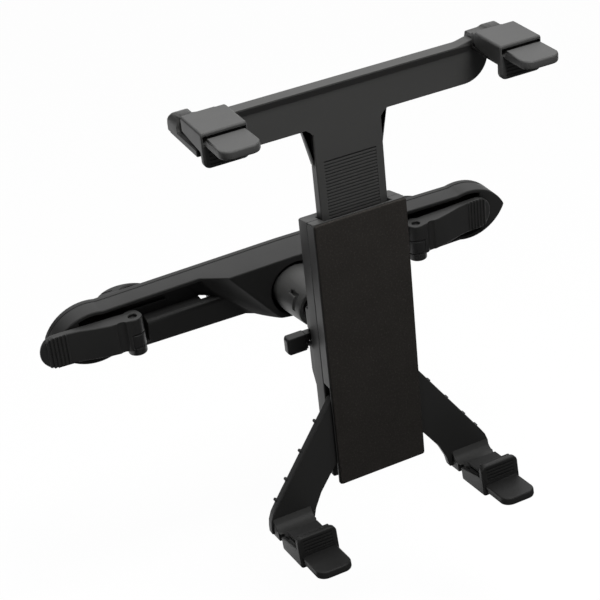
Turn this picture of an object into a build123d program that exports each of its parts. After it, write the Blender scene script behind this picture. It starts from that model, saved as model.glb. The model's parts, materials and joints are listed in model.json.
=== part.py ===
from build123d import *
import os

os.makedirs("parts", exist_ok=True)

# Driving dimensions in millimetres; origin at the centre of the pad's front face, -Y to the viewer, +Z up
BODY_W = 47.0
BODY_H = 143.0
PAD_T = 1.0
SEAM_Y = 8.0
BODY_D = 18.0
TOP_DROP = 4.0
CLEAR = 0.3
FIT = 0.05
SCREW_R = 1.2
SCREW_HEAD_R = 2.2
SCREW_HEAD_T = 1.8

# Sliding T arm
STEM_W = 33.5
ARM_Y = 5.95
ARM_D = 5.55
ARM_SKIN = 2.35
ARM_WALL = 2.35
STEM_LOW = 22.0
TONGUE_W = 15.0
TONGUE_LOW = -25.0
ARM_DOWN = 24.0
CROSS_LOW = 114.2
CROSS_TOP = 133.5
CROSS_W = 144.0
CROSS_CORNER = 12.6
FLANGE_LOW = 129.2

# Boots: the claws and the feet share one moulding
BOOT_W = 20.5
BOOT_FRONT = -26.1
BOOT_BACK = -4.4
BOOT_T = 2.6
BOOT_WALL = 2.0
LIP_T = 3.3
LIP_H = 15.9
TAB_L = 18.4
CLAW_X = 69.2
CLAW_TOP = 142.9
FOOT_X = 49.75
FOOT_PITCH = 8.0
FOOT_LOW = -88.3
FOOT_SHIFT = -2.2

# Legs
LEG_Y = 2.3
LEG_T = 4.0
LEG_PIVOT = (12.0, -36.0)
LEG_EYE_R = 9.0
LEG_PIN_R = 2.5

# Back block, release button and ball joint
BLOCK_W = 42.0
BLOCK_TOP = 17.0
BLOCK_LOW = -33.0
BLOCK_BACK = 28.0
AXIS_Z = -7.6
BALL_Y = 66.0
BALL_R = 8.5
SPIGOT_R = 5.0
NECK_R = 3.8
COLLAR_R = 13.0
COLLAR_FRONT = 58.0
COLLAR_BACK = 94.6
BUTTON_TRAVEL = 2.5

# Clamp bar
BAR_FRONT = 90.0
BAR_FLOOR = 97.0
BAR_SPLIT = 101.0
BAR_BACK = 105.0
BAR_Z = -3.8
BAR_HALF = 128.0
BAR_KNEE = BAR_HALF - 28.0
BAR_MID_H = 14.8
BAR_KNEE_H = 13.4
BAR_WALL = 2.2
HUB_FRONT = 81.0
HUB_TOP_HALF = 37.0
HUB_LOW_HALF = 10.0
HUB_SLOPE = 1.41
HUB_LOW = -23.2
SHELF_Z = BAR_Z + 0.2
APRON_GAP = 9.2
SLOT_H = 6.0

# Clamp units
LEFT_BOLT_X = 39.8 - BAR_HALF
RIGHT_BOLT_X = BAR_HALF - 58.0
CARRIAGE_TRAVEL = 14.0
SLIDER_IN = 5.0
SLIDER_OUT = 8.0
BOLT_DZ = -2.2
PIN_Y = 82.5
LEVER_PIN_R = 2.0
BOLT_R = 2.0
EYE_R = 4.3
EYE_H = 7.0
CAM_R = 4.5
CAM_OFFSET = 1.5
CAM_GAP = 0.15
KNUCKLE_H = 20.4
LEVER_LOW = -6.8
LEVER_L = 47.2
LEVER_TIP_R = 8.2
POST_R = 6.0
POST_DX = 10.5
LINER_T = 1.2
JAW_H = 13.0
JAW_BACK = 121.5
NUT_R = 3.9
NUT_T = 2.8

body_half = BODY_W / 2
body_top = BODY_H / 2
stem_half = STEM_W / 2
arm_back = ARM_Y + ARM_D
tongue_half = TONGUE_W / 2
leg_room = LEG_Y - CLEAR
block_half = BLOCK_W / 2
slider_face = PIN_Y + CAM_R + CAM_OFFSET + CAM_GAP
post_y = BAR_BACK + POST_R


def front_plane(y):
    return Plane((0, y, 0), x_dir=(1, 0, 0), z_dir=(0, -1, 0))


def block(x, y, z, mode=Mode.ADD):
    with Locations(((x[0] + x[1]) / 2, (y[0] + y[1]) / 2, (z[0] + z[1]) / 2)):
        Box(x[1] - x[0], y[1] - y[0], z[1] - z[0], mode=mode)


def rod(x, z, r, y0, y1, mode=Mode.ADD):
    with Locations(Location((x, (y0 + y1) / 2, z), (90, 0, 0))):
        Cylinder(r, y1 - y0, mode=mode)


def upright(x, y, r, z0, z1, mode=Mode.ADD):
    with Locations((x, y, (z0 + z1) / 2)):
        Cylinder(r, z1 - z0, mode=mode)


def side_profile(points, x0, x1, mode=Mode.ADD):
    with BuildSketch(Plane.YZ.offset(x0)) as profile:
        with BuildLine():
            Polyline(*points, close=True)
        make_face()
    extrude(profile.sketch, amount=x1 - x0, dir=(1, 0, 0), mode=mode)


def front_profile(points, y0, y1, mode=Mode.ADD):
    with BuildSketch(front_plane(y0)) as profile:
        with BuildLine():
            Polyline(*points, close=True)
        make_face()
    extrude(profile.sketch, amount=y1 - y0, dir=(0, 1, 0), mode=mode)


def screw(x, z, head_y, tip_y):
    rod(x, z, SCREW_HEAD_R, head_y - SCREW_HEAD_T, head_y)
    rod(x, z, SCREW_R, tip_y, head_y - SCREW_HEAD_T)


def screw_seat(x, z, head_y, tip_y):
    rod(x, z, SCREW_HEAD_R + CLEAR, head_y - SCREW_HEAD_T, head_y + 1.0, Mode.SUBTRACT)
    rod(x, z, SCREW_R, tip_y, head_y, Mode.SUBTRACT)


# Fixing points of the shell, the block and the bar
shell_x = (stem_half + CLEAR + body_half) / 2
post_low = -body_top + 5.0
shell_points = [(-shell_x, 60), (shell_x, 60), (0, post_low)]
block_points = [(-16.5, 10.5), (16.5, 10.5), (-16.5, -13), (16.5, -13)]
bar_points = [(-31, BAR_Z), (31, BAR_Z), (11 - BAR_HALF, BAR_Z), (BAR_HALF - 11, BAR_Z)]
top_cut = [(PAD_T, body_top), (BODY_D + 1, body_top - TOP_DROP), (BODY_D + 1, body_top + 2),
           (PAD_T, body_top + 2)]
shell_head = BODY_D - 0.2
block_head = BLOCK_BACK - 0.2
bar_head = BAR_BACK - 0.2

# Front pad, a foam sheet glued to the front shell
with BuildPart() as front_pad:
    with BuildSketch(front_plane(0)):
        RectangleRounded(BODY_W - 0.8, BODY_H - 0.8, 1.2)
    extrude(amount=-PAD_T)
front_pad.part.label = "front_pad"
export_step(front_pad.part, "parts/front_pad.step")

# Front shell with the stem channel and the open leg chamber
with BuildPart() as front_shell:
    with BuildSketch(front_plane(PAD_T)):
        RectangleRounded(BODY_W, BODY_H, 1.6)
    extrude(amount=PAD_T - SEAM_Y)
    block((-stem_half - CLEAR, stem_half + CLEAR), (ARM_Y - CLEAR, SEAM_Y + 1),
          (STEM_LOW - ARM_DOWN - 2, body_top + 1), Mode.SUBTRACT)
    block((-stem_half - CLEAR, stem_half + CLEAR), (PAD_T + 1.8, ARM_Y), (body_top - 14, body_top + 1),
          Mode.SUBTRACT)
    for s in (-1, 1):
        x_in = min(s * 2.8, s * (body_half + 1))
        x_out = max(s * 2.8, s * (body_half + 1))
        block((x_in, x_out), (leg_room, SEAM_Y + 1), (-body_top - 1, -16), Mode.SUBTRACT)
    side_profile(top_cut, -body_half - 1, body_half + 1, Mode.SUBTRACT)
    for x, z in shell_points:
        rod(x, z, SCREW_R, SEAM_Y - 3.6, SEAM_Y + 1, Mode.SUBTRACT)
front_shell.part.label = "front_shell"
export_step(front_shell.part, "parts/front_shell.step")

# Rear shell with the rest of the stem channel, the tongue channel and the brake window
with BuildPart() as rear_shell:
    with BuildSketch(front_plane(SEAM_Y)):
        RectangleRounded(BODY_W, BODY_H, 1.6)
    extrude(amount=SEAM_Y - BODY_D)
    chamfer(rear_shell.faces().sort_by(Axis.Y)[-1].edges(), 1.2)
    chamfer(rear_shell.faces().sort_by(Axis.Y)[0].edges(), 0.6)
    block((-stem_half - CLEAR, stem_half + CLEAR), (SEAM_Y - 1, arm_back + CLEAR),
          (STEM_LOW - ARM_DOWN - 2, body_top + 1), Mode.SUBTRACT)
    block((-tongue_half - CLEAR, tongue_half + CLEAR), (SEAM_Y - 1, arm_back + CLEAR),
          (TONGUE_LOW - ARM_DOWN - 1, 0), Mode.SUBTRACT)
    block((tongue_half + 0.1, tongue_half + 6.5), (SEAM_Y - 1, BODY_D + 1), (-0.4, 4.4), Mode.SUBTRACT)
    for s in (-1, 1):
        rod(s * LEG_PIVOT[0], LEG_PIVOT[1], LEG_PIN_R, SEAM_Y - 1, BODY_D - 2, Mode.SUBTRACT)
    for x, z in shell_points:
        screw_seat(x, z, shell_head, SEAM_Y - 1)
    for x, z in block_points:
        rod(x, z, SCREW_R, arm_back + 1.5, BODY_D + 1, Mode.SUBTRACT)
    side_profile(top_cut, -body_half - 1, body_half + 1, Mode.SUBTRACT)
rear_shell.part.label = "rear_shell"
export_step(rear_shell.part, "parts/rear_shell.step")

with BuildPart() as shell_screws:
    for x, z in shell_points:
        screw(x, z, shell_head, SEAM_Y - 3.6)
shell_screws.part.label = "shell_screws"
export_step(shell_screws.part, "parts/shell_screws.step")

# Leg pins, steel, pressed into the rear shell
with BuildPart() as leg_pins:
    for s in (-1, 1):
        rod(s * LEG_PIVOT[0], LEG_PIVOT[1], LEG_PIN_R, leg_room, BODY_D - 2)
leg_pins.part.label = "leg_pins"
export_step(leg_pins.part, "parts/leg_pins.step")

# Back block on the rear shell: it holds the ball neck and guides the release button
spring_floor = -block_half + 6.0
with BuildPart() as back_block:
    side_profile([(BODY_D, BLOCK_LOW), (BODY_D + 2.0, BLOCK_LOW), (BLOCK_BACK, -15),
                  (BLOCK_BACK, BLOCK_TOP - 3), (BLOCK_BACK - 3, BLOCK_TOP), (BODY_D, BLOCK_TOP)],
                 -block_half, block_half)
    chamfer(back_block.faces().sort_by(Axis.Y)[-1].edges().filter_by(Axis.Z), 2.0)
    block((-block_half - 1, tongue_half + 6.5), (21.3, 26.7), (-0.4, 4.4), Mode.SUBTRACT)
    block((tongue_half + 0.1, tongue_half + 6.5), (BODY_D - 1, 22), (-0.4, 4.4), Mode.SUBTRACT)
    block((-block_half - 1, spring_floor), (20.9, 26.9), (-4.4, 4.4), Mode.SUBTRACT)
    rod(0, AXIS_Z, SPIGOT_R + FIT, BODY_D - 1, BLOCK_BACK + 1, Mode.SUBTRACT)
    rod(0, AXIS_Z, 7.0 + CLEAR, BODY_D - 1, BODY_D + 2.6, Mode.SUBTRACT)
    for x, z in block_points:
        screw_seat(x, z, block_head, BODY_D - 1)
back_block.part.label = "back_block"
export_step(back_block.part, "parts/back_block.step")

with BuildPart() as block_screws:
    for x, z in block_points:
        screw(x, z, block_head, arm_back + 1.5)
block_screws.part.label = "block_screws"
export_step(block_screws.part, "parts/block_screws.step")

# Release button: thumb block, shank through the back block and a brake shoe beside the arm's tongue
button_in = -block_half - BUTTON_TRAVEL - 0.3
shoe_x = tongue_half + 0.4
with BuildPart() as release_button:
    block((button_in - 10.0, button_in), (21.4, 26.8), (-4.6, 4.2))
    fillet(release_button.faces().sort_by(Axis.X)[0].edges(), 1.6)
    block((button_in, shoe_x + 3), (21.6, 26.4), (0, 4))
    block((shoe_x, shoe_x + 3), (arm_back - 2.4, 22), (0, 4))
release_button.part.label = "release_button"
export_step(release_button.part, "parts/release_button.step")

# Return spring: a bent steel strip between the thumb block and the pocket floor
with BuildPart() as button_spring:
    with BuildSketch(Plane.XY.offset(-3.8)):
        with BuildLine():
            Polyline((button_in + 0.25, 21.6), (button_in + 0.25, 26), (button_in + 2.6, 22),
                     (button_in + 4.6, 26), (spring_floor - 2.6, 22), (spring_floor - 0.25, 26),
                     (spring_floor - 0.25, 21.8))
        trace(line_width=0.5)
    extrude(amount=2.8)
    block((button_in - 1, button_in), (20, 28), (-5, 0), Mode.SUBTRACT)
    block((spring_floor, spring_floor + 1), (20, 28), (-5, 0), Mode.SUBTRACT)
button_spring.part.label = "button_spring"
export_step(button_spring.part, "parts/button_spring.step")

# Ball neck: head disc and spigot turn in the back block, the far end is cupped around the ball
with BuildPart() as ball_neck:
    with BuildSketch(Plane.YZ):
        with BuildLine():
            Polyline((BODY_D + 0.3, 0), (BODY_D + 0.3, 7), (BODY_D + 2.3, 7), (BODY_D + 2.3, SPIGOT_R),
                     (36, SPIGOT_R), (44, NECK_R), (BALL_Y - 5, NECK_R), (BALL_Y - 5, 0), close=True)
        make_face()
    revolve(axis=Axis.Y)
    with Locations((0, BALL_Y, 0)):
        Sphere(BALL_R + FIT, mode=Mode.SUBTRACT)
ball_neck.part = ball_neck.part.moved(Location((0, 0, AXIS_Z)))
ball_neck.part.label = "ball_neck"
export_step(ball_neck.part, "parts/ball_neck.step")

with BuildPart() as pivot_ball:
    with Locations((0, BALL_Y, AXIS_Z)):
        Sphere(BALL_R)
pivot_ball.part.label = "pivot_ball"
export_step(pivot_ball.part, "parts/pivot_ball.step")

# Socket seat: a tube cupped behind the ball, its flange held between the bar and the rear cover
seat_r = 9.4
seat_flange_r = 13.0
cup_r = BALL_R + 0.1
with BuildPart() as socket_seat:
    rod(0, AXIS_Z, seat_r, BALL_Y - 1.5, BAR_SPLIT)
    rod(0, AXIS_Z, seat_flange_r, BAR_SPLIT, BAR_SPLIT + 2.4)
    with Locations((0, BALL_Y, AXIS_Z)):
        Sphere(cup_r, mode=Mode.SUBTRACT)
    rod(0, AXIS_Z, 5.0, BALL_Y, BAR_SPLIT - 4, Mode.SUBTRACT)
socket_seat.part.label = "socket_seat"
export_step(socket_seat.part, "parts/socket_seat.step")

# Collar nut: turns on the seat tube and closes over the front of the ball
lip_r = BALL_R + CLEAR
mouth_r = 6.9
mouth_y = BALL_Y - (lip_r ** 2 - mouth_r ** 2) ** 0.5
with BuildPart() as collar_nut:
    with BuildSketch(Plane.YZ):
        with BuildLine():
            Polyline((COLLAR_FRONT, 8.7), (COLLAR_FRONT, 10.1), (COLLAR_FRONT + 0.7, 10.8),
                     (HUB_FRONT - 3, COLLAR_R), (COLLAR_BACK - 1.2, COLLAR_R), (COLLAR_BACK, COLLAR_R - 1.2),
                     (COLLAR_BACK, seat_r + FIT), (BALL_Y - 2, seat_r + FIT), (BALL_Y - 2, mouth_r),
                     (mouth_y, mouth_r), close=True)
        make_face()
    revolve(axis=Axis.Y)
    with Locations((0, BALL_Y, 0)):
        Sphere(lip_r, mode=Mode.SUBTRACT)
    for angle in (0, 90, 180, 270):
        with Locations(Location((0, 0, 0), (0, angle + 20, 0))):
            with Locations((-COLLAR_R + 1.6, COLLAR_FRONT + 5.5, 0)):
                Box(2.6, 2.2, 9.0, mode=Mode.SUBTRACT)
            with Locations((-COLLAR_R + 1.6, COLLAR_FRONT + 8.5, 3.4)):
                Box(2.6, 6.0, 2.2, mode=Mode.SUBTRACT)
collar_nut.part = collar_nut.part.moved(Location((0, 0, AXIS_Z)))
collar_nut.part.label = "collar_nut"
export_step(collar_nut.part, "parts/collar_nut.step")


# Clamp bar outline: a long board with round tips, and a belly under the hub
def bar_face():
    with BuildLine() as edge:
        Polyline((-BAR_KNEE, BAR_Z + BAR_KNEE_H), (0, BAR_Z + BAR_MID_H), (BAR_KNEE, BAR_Z + BAR_KNEE_H))
        ThreePointArc((BAR_KNEE, BAR_Z + BAR_KNEE_H), (BAR_HALF - 7.5, BAR_Z + 9.3), (BAR_HALF, BAR_Z))
        ThreePointArc((BAR_HALF, BAR_Z), (BAR_HALF - 7.5, BAR_Z - 9.3), (BAR_KNEE, BAR_Z - BAR_KNEE_H))
        Polyline((BAR_KNEE, BAR_Z - BAR_KNEE_H), (0, BAR_Z - BAR_MID_H), (-BAR_KNEE, BAR_Z - BAR_KNEE_H))
        ThreePointArc((-BAR_KNEE, BAR_Z - BAR_KNEE_H), (-BAR_HALF + 7.5, BAR_Z - 9.3), (-BAR_HALF, BAR_Z))
        ThreePointArc((-BAR_HALF, BAR_Z), (-BAR_HALF + 7.5, BAR_Z + 9.3), (-BAR_KNEE, BAR_Z + BAR_KNEE_H))
    make_face(edge.edges())


def hub_face():
    with BuildLine() as belly:
        ThreePointArc((-26, BAR_Z - 13), (0, HUB_LOW), (26, BAR_Z - 13))
        Polyline((26, BAR_Z - 13), (26, BAR_Z), (-26, BAR_Z), (-26, BAR_Z - 13))
    make_face(belly.edges())


# Bolt slots behind the clamp units; the jaw lugs run in them
slots = [(LEFT_BOLT_X - CARRIAGE_TRAVEL - 6.9, LEFT_BOLT_X + 5.4),
         (RIGHT_BOLT_X - 6.9, RIGHT_BOLT_X + CARRIAGE_TRAVEL + 5.4)]

# Drain windows at the inner ends of the trough
windows = [(-48.2, -41.6), (41.6, 48.2)]

# Hub wedge: a V-shaped plateau around the collar that ramps down into the bar's trough
with BuildPart() as hub:
    for y in (HUB_FRONT, BAR_FLOOR + 1):
        grow = HUB_SLOPE * (y - HUB_FRONT)
        with BuildSketch(front_plane(y)):
            with BuildLine():
                Polyline((-HUB_TOP_HALF - grow, BAR_Z + BAR_MID_H), (-HUB_LOW_HALF - grow, HUB_LOW),
                         (HUB_LOW_HALF + grow, HUB_LOW), (HUB_TOP_HALF + grow, BAR_Z + BAR_MID_H),
                         close=True)
            make_face()
    loft(ruled=True)
    with BuildSketch(front_plane(HUB_FRONT - 1)):
        bar_face()
        hub_face()
    extrude(amount=HUB_FRONT - 1 - BAR_SPLIT, mode=Mode.INTERSECT)

# Clamp bar: the trough runs above a shelf, with a full pocket only where the clamp units slide
apron_left = LEFT_BOLT_X + APRON_GAP
apron_right = RIGHT_BOLT_X - APRON_GAP
with BuildPart() as clamp_bar:
    with BuildSketch(front_plane(BAR_FRONT)):
        bar_face()
        hub_face()
    extrude(amount=BAR_FRONT - BAR_SPLIT)
    with BuildSketch(front_plane(BAR_FRONT - 1)):
        bar_face()
        offset(amount=-BAR_WALL)
        for s in (-1, 1):
            with Locations((s * (BAR_HALF + 50), BAR_Z)):
                Rectangle(130, 60, mode=Mode.SUBTRACT)
        with Locations(((apron_left + apron_right) / 2, SHELF_Z - 30)):
            Rectangle(apron_right - apron_left, 60, mode=Mode.SUBTRACT)
    extrude(amount=BAR_FRONT - 1 - BAR_FLOOR, mode=Mode.SUBTRACT)
    add(hub.part)
    for s in (-1, 1):
        x_a = min(s * 66, s * (BAR_HALF - 16))
        x_b = max(s * 66, s * (BAR_HALF - 16))
        block((x_a, x_b), (BAR_FLOOR - 1.8, BAR_FLOOR + 0.5), (BAR_Z + 4.8, BAR_Z + 6.0))
    for x_a, x_b in windows:
        block((x_a, x_b), (BAR_FLOOR - 3.2, BAR_SPLIT + 1), (SHELF_Z - 8.6, SHELF_Z - 0.1), Mode.SUBTRACT)
    rod(0, AXIS_Z, COLLAR_R + 1.2, HUB_FRONT - 1, COLLAR_BACK + 0.6, Mode.SUBTRACT)
    with Locations(Location((0, HUB_FRONT + 3, AXIS_Z), (90, 0, 0))):
        Cone(COLLAR_R + 1.2, COLLAR_R + 1.9, 6.0, mode=Mode.SUBTRACT)
    rod(0, AXIS_Z, seat_r, BAR_FRONT, BAR_SPLIT + 1, Mode.SUBTRACT)
    for x_a, x_b in slots:
        with BuildSketch(front_plane(BAR_FLOOR - 1)):
            with Locations(((x_a + x_b) / 2, BAR_Z + BOLT_DZ)):
                SlotOverall(x_b - x_a, SLOT_H)
        extrude(amount=BAR_FLOOR - BAR_SPLIT - 2, mode=Mode.SUBTRACT)
    for x, z in bar_points:
        rod(x, z, SCREW_R, BAR_SPLIT - 3.2, BAR_SPLIT + 1, Mode.SUBTRACT)
clamp_bar.part.label = "clamp_bar"
export_step(clamp_bar.part, "parts/clamp_bar.step")

# Rear cover: closes the back of the bar and bears on the headrest posts
with BuildPart() as rear_cover:
    with BuildSketch(front_plane(BAR_SPLIT)):
        bar_face()
        hub_face()
    extrude(amount=BAR_SPLIT - BAR_BACK)
    chamfer(rear_cover.faces().sort_by(Axis.Y)[-1].edges(), 0.9)
    rod(0, AXIS_Z, seat_flange_r, BAR_SPLIT - 1, BAR_SPLIT + 2.4, Mode.SUBTRACT)
    for x_a, x_b in windows:
        block((x_a, x_b), (BAR_SPLIT - 1, BAR_BACK + 1), (SHELF_Z - 8.6, SHELF_Z - 2), Mode.SUBTRACT)
    for x_a, x_b in slots:
        with BuildSketch(front_plane(BAR_SPLIT - 1)):
            with Locations(((x_a + x_b) / 2, BAR_Z + BOLT_DZ)):
                SlotOverall(x_b - x_a, SLOT_H)
        extrude(amount=BAR_SPLIT - BAR_BACK - 2, mode=Mode.SUBTRACT)
    for x, z in bar_points:
        screw_seat(x, z, bar_head, BAR_SPLIT - 1)
rear_cover.part.label = "rear_cover"
export_step(rear_cover.part, "parts/rear_cover.step")

with BuildPart() as bar_screws:
    for x, z in bar_points:
        screw(x, z, bar_head, BAR_SPLIT - 3.2)
bar_screws.part.label = "bar_screws"
export_step(bar_screws.part, "parts/bar_screws.step")

# T arm: crossbar, hollow-backed stem, rack tongue, top flange and the two rails for the claws
rail_half = BOOT_W / 2 - BOOT_WALL - CLEAR
rail_top = CLAW_TOP - BOOT_T - 0.4
rail_low = CLAW_TOP - 9.8
arm_out = CLAW_X + BOOT_W / 2
boss_top = CLAW_TOP - 3.2
boss_in = CLAW_X - 5.7
with BuildPart() as boss:
    side_profile([(1, rail_low - 3), (1, boss_top), (6.5, boss_top), (9.6, boss_top - 1),
                  (11.6, boss_top - 3), (12.5, boss_top - 6.2), (12.5, rail_low - 3)], boss_in, arm_out)
    front_profile([(boss_in, rail_low - 3), (boss_in, boss_top - 2.6), (CLAW_X + 0.4, boss_top - 2.2),
                   (CLAW_X + 1.6, boss_top - 0.8), (CLAW_X + 3.2, boss_top), (CLAW_X + 7, boss_top),
                   (CLAW_X + 9, boss_top - 1.4), (arm_out, boss_top - 4.2), (arm_out, rail_low - 3)],
                  0, 13, Mode.INTERSECT)

with BuildPart() as t_arm:
    with BuildSketch(front_plane(ARM_Y)) as arm_face:
        with Locations((0, (CROSS_LOW + CROSS_TOP) / 2)):
            Rectangle(CROSS_W, CROSS_TOP - CROSS_LOW)
        fillet(arm_face.vertices().group_by(Axis.Y)[0], CROSS_CORNER)
        with Locations((0, (STEM_LOW + CROSS_LOW + 1) / 2)):
            Rectangle(STEM_W, CROSS_LOW + 1 - STEM_LOW)
        inner = [v for v in arm_face.vertices() if abs(v.Y - CROSS_LOW) < 0.1 and abs(v.X) < stem_half + 1]
        fillet(inner, 4.0)
    extrude(amount=-ARM_D)
    with BuildSketch(front_plane(ARM_Y + ARM_SKIN)):
        add(arm_face.sketch_local)
        offset(amount=-ARM_WALL)
    extrude(amount=-ARM_D, mode=Mode.SUBTRACT)
    block((-tongue_half, tongue_half), (ARM_Y + ARM_SKIN, arm_back), (TONGUE_LOW, CROSS_TOP - 3))
    for s in (-1, 1):
        x_a = min(s * tongue_half, s * (stem_half - ARM_WALL))
        x_b = max(s * tongue_half, s * (stem_half - ARM_WALL))
        block((x_a, x_b), (ARM_Y + ARM_SKIN, arm_back + 1), (STEM_LOW - 1, STEM_LOW + 4), Mode.SUBTRACT)
    for x in (-58, -44, -30, 30, 44, 58):
        block((x - 0.8, x + 0.8), (ARM_Y + 1, arm_back - 0.6), (CROSS_LOW + 1.2, FLANGE_LOW + 1))
    side_profile([(ARM_Y, FLANGE_LOW), (ARM_Y - 1.5, CROSS_TOP - 0.7), (ARM_Y - 1.5, CROSS_TOP),
                  (arm_back, CROSS_TOP), (arm_back, FLANGE_LOW)], -CROSS_W / 2, CROSS_W / 2)
    block((-13, 13), (ARM_Y - 1, ARM_Y + 0.4), (58, 97.8), Mode.SUBTRACT)
    for i in range(24):
        z = 60.2 + i * 1.56
        block((-13, 13), (ARM_Y + 0.08, ARM_Y + 0.6), (z, z + 0.8))
    for s in (-1, 1):
        front_profile([(s * 17, 96), (s * 16, 96), (s * 16, 115), (s * 21.2, 115)], ARM_Y + 2, arm_back)
        front_profile([(s * 17.5, 101), (s * 17.5, 113.4), (s * 20, 113.4)], ARM_Y + 1, ARM_Y + 4.2,
                      Mode.SUBTRACT)
        x_a = min(s * boss_in, s * arm_out)
        x_b = max(s * boss_in, s * arm_out)
        block((x_a, x_b), (-18.9, 10), (rail_low - 3.4, rail_low))
        front_profile([(s * 54, CROSS_TOP - 0.1), (s * 58.5, CROSS_TOP + 0.9), (s * 61.5, CROSS_TOP + 2.6),
                       (s * 64, boss_top - 2.6), (s * 64, CROSS_TOP - 0.1)], 4.6, 10.5)
        if s > 0:
            add(boss.part)
        else:
            add(mirror(boss.part, about=Plane.YZ, mode=Mode.PRIVATE))
        r_a = s * CLAW_X - rail_half
        r_b = s * CLAW_X + rail_half
        block((r_a, r_b), (-18.9, 2), (rail_low - 0.5, rail_top))
        block((r_a - 1, r_a + 1.3), (-20, 0.9), (CLAW_TOP - 9.3, CLAW_TOP - 7.4), Mode.SUBTRACT)
        block((r_b - 1.3, r_b + 1), (-20, 0.9), (CLAW_TOP - 9.3, CLAW_TOP - 7.4), Mode.SUBTRACT)
t_arm.part.label = "t_arm"
export_step(t_arm.part, "parts/t_arm.step")

# Boot moulding in its own frame: outer face of the plate at z = 0, lip towards -Y
boot_half = BOOT_W / 2
lip_back = BOOT_FRONT + LIP_T
with BuildPart() as boot:
    block((-boot_half, boot_half), (BOOT_FRONT, BOOT_BACK), (-BOOT_T, 0))
    fillet(boot.faces().sort_by(Axis.Z)[-1].edges().sort_by(Axis.Y)[1:], 1.2)
    for s in (-1, 1):
        x_a = min(s * boot_half, s * (boot_half - BOOT_WALL))
        side_profile([(BOOT_BACK, -1.3), (BOOT_BACK, -7.0), (lip_back, -9.4), (BOOT_FRONT, -9.4),
                      (BOOT_FRONT, -1.3)], x_a, x_a + BOOT_WALL)
    with BuildSketch(front_plane(BOOT_FRONT)) as lip_face:
        with Locations((0, -LIP_H / 2 - 0.6)):
            Rectangle(BOOT_W, LIP_H - 1.2)
        fillet(lip_face.vertices().group_by(Axis.Y)[0], 3.0)
    extrude(amount=-LIP_T)
    for s in (-1, 1):
        x_a = min(s * (boot_half - BOOT_WALL), s * (boot_half - BOOT_WALL - 0.9))
        block((x_a, x_a + 0.9), (lip_back + 1.7, BOOT_BACK - 6), (-8.9, -7.8))
    block((-7.6, 7.6), (BOOT_FRONT - 1, BOOT_FRONT + 0.35), (-LIP_H + 1.6, -7.0), Mode.SUBTRACT)
    for i in range(4):
        z = -LIP_H + 2.6 + i * 1.7
        block((-7.6, 7.6), (BOOT_FRONT + 0.06, BOOT_FRONT + 0.6), (z, z + 0.8))
    with BuildSketch(Plane.XY.offset(-5.8)) as tab_face:
        with Locations((0, BOOT_FRONT - TAB_L / 2 + 0.1)):
            Rectangle(18.0, TAB_L)
        fillet(tab_face.vertices().group_by(Axis.Y)[0], 5.0)
    extrude(amount=3.9)
    block((-9.5, 9.5), (BOOT_FRONT - 0.9, BOOT_FRONT), (-3.4, -1), Mode.SUBTRACT)

with BuildPart() as left_claw:
    add(boot.part.moved(Location((-CLAW_X, 0, CLAW_TOP))))
left_claw.part.label = "left_claw"
export_step(left_claw.part, "parts/left_claw.step")

with BuildPart() as right_claw:
    add(boot.part.moved(Location((CLAW_X, 0, CLAW_TOP))))
right_claw.part.label = "right_claw"
export_step(right_claw.part, "parts/right_claw.step")

# Rubber pads on the inside of the claw lips
with BuildPart() as claw_pad:
    block((-boot_half + 1.5, boot_half - 1.5), (lip_back, lip_back + 1.4), (-LIP_H + 0.8, -BOOT_T - 0.6))

with BuildPart() as left_claw_pad:
    add(claw_pad.part.moved(Location((-CLAW_X, 0, CLAW_TOP))))
    block((-CLAW_X - boot_half, -CLAW_X - boot_half + BOOT_WALL + 0.2), (lip_back - 1, 0),
          (CLAW_TOP - 9.5, CLAW_TOP), Mode.SUBTRACT)
    block((-CLAW_X + boot_half - BOOT_WALL - 0.2, -CLAW_X + boot_half), (lip_back - 1, 0),
          (CLAW_TOP - 9.5, CLAW_TOP), Mode.SUBTRACT)
left_claw_pad.part.label = "left_claw_pad"
export_step(left_claw_pad.part, "parts/left_claw_pad.step")

with BuildPart() as right_claw_pad:
    add(left_claw_pad.part.moved(Location((2 * CLAW_X, 0, 0))))
right_claw_pad.part.label = "right_claw_pad"
export_step(right_claw_pad.part, "parts/right_claw_pad.step")

# Feet: the same boot upside down, pitched nose-up
boot_mid = (BOOT_FRONT + BOOT_BACK) / 2


def foot_place(x):
    pitched = Location((x, boot_mid + FOOT_SHIFT, FOOT_LOW)) * Location((0, 0, 0), (-FOOT_PITCH, 0, 0))
    return pitched * Location((0, 0, 0), (0, 180, 0)) * Location((0, -boot_mid, 0))


with BuildPart() as left_foot:
    add(boot.part.moved(foot_place(-FOOT_X)))
left_foot.part.label = "left_foot"
export_step(left_foot.part, "parts/left_foot.step")

with BuildPart() as right_foot:
    add(boot.part.moved(foot_place(FOOT_X)))
right_foot.part.label = "right_foot"
export_step(right_foot.part, "parts/right_foot.step")

# L-shaped rubber liners inside the feet
foot_pad_half = boot_half - BOOT_WALL - 0.15
with BuildPart() as foot_pad:
    side_profile([(lip_back, -9.5), (-8, -9.5), (-8, -10.9), (-17, -10.9), (-20.2, -13),
                  (-21.2, -LIP_H + 0.4), (lip_back, -LIP_H + 0.4)], -foot_pad_half, foot_pad_half)

with BuildPart() as left_foot_pad:
    add(foot_pad.part.moved(foot_place(-FOOT_X)))
left_foot_pad.part.label = "left_foot_pad"
export_step(left_foot_pad.part, "parts/left_foot_pad.step")

with BuildPart() as right_foot_pad:
    add(foot_pad.part.moved(foot_place(FOOT_X)))
right_foot_pad.part.label = "right_foot_pad"
export_step(right_foot_pad.part, "parts/right_foot_pad.step")

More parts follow.
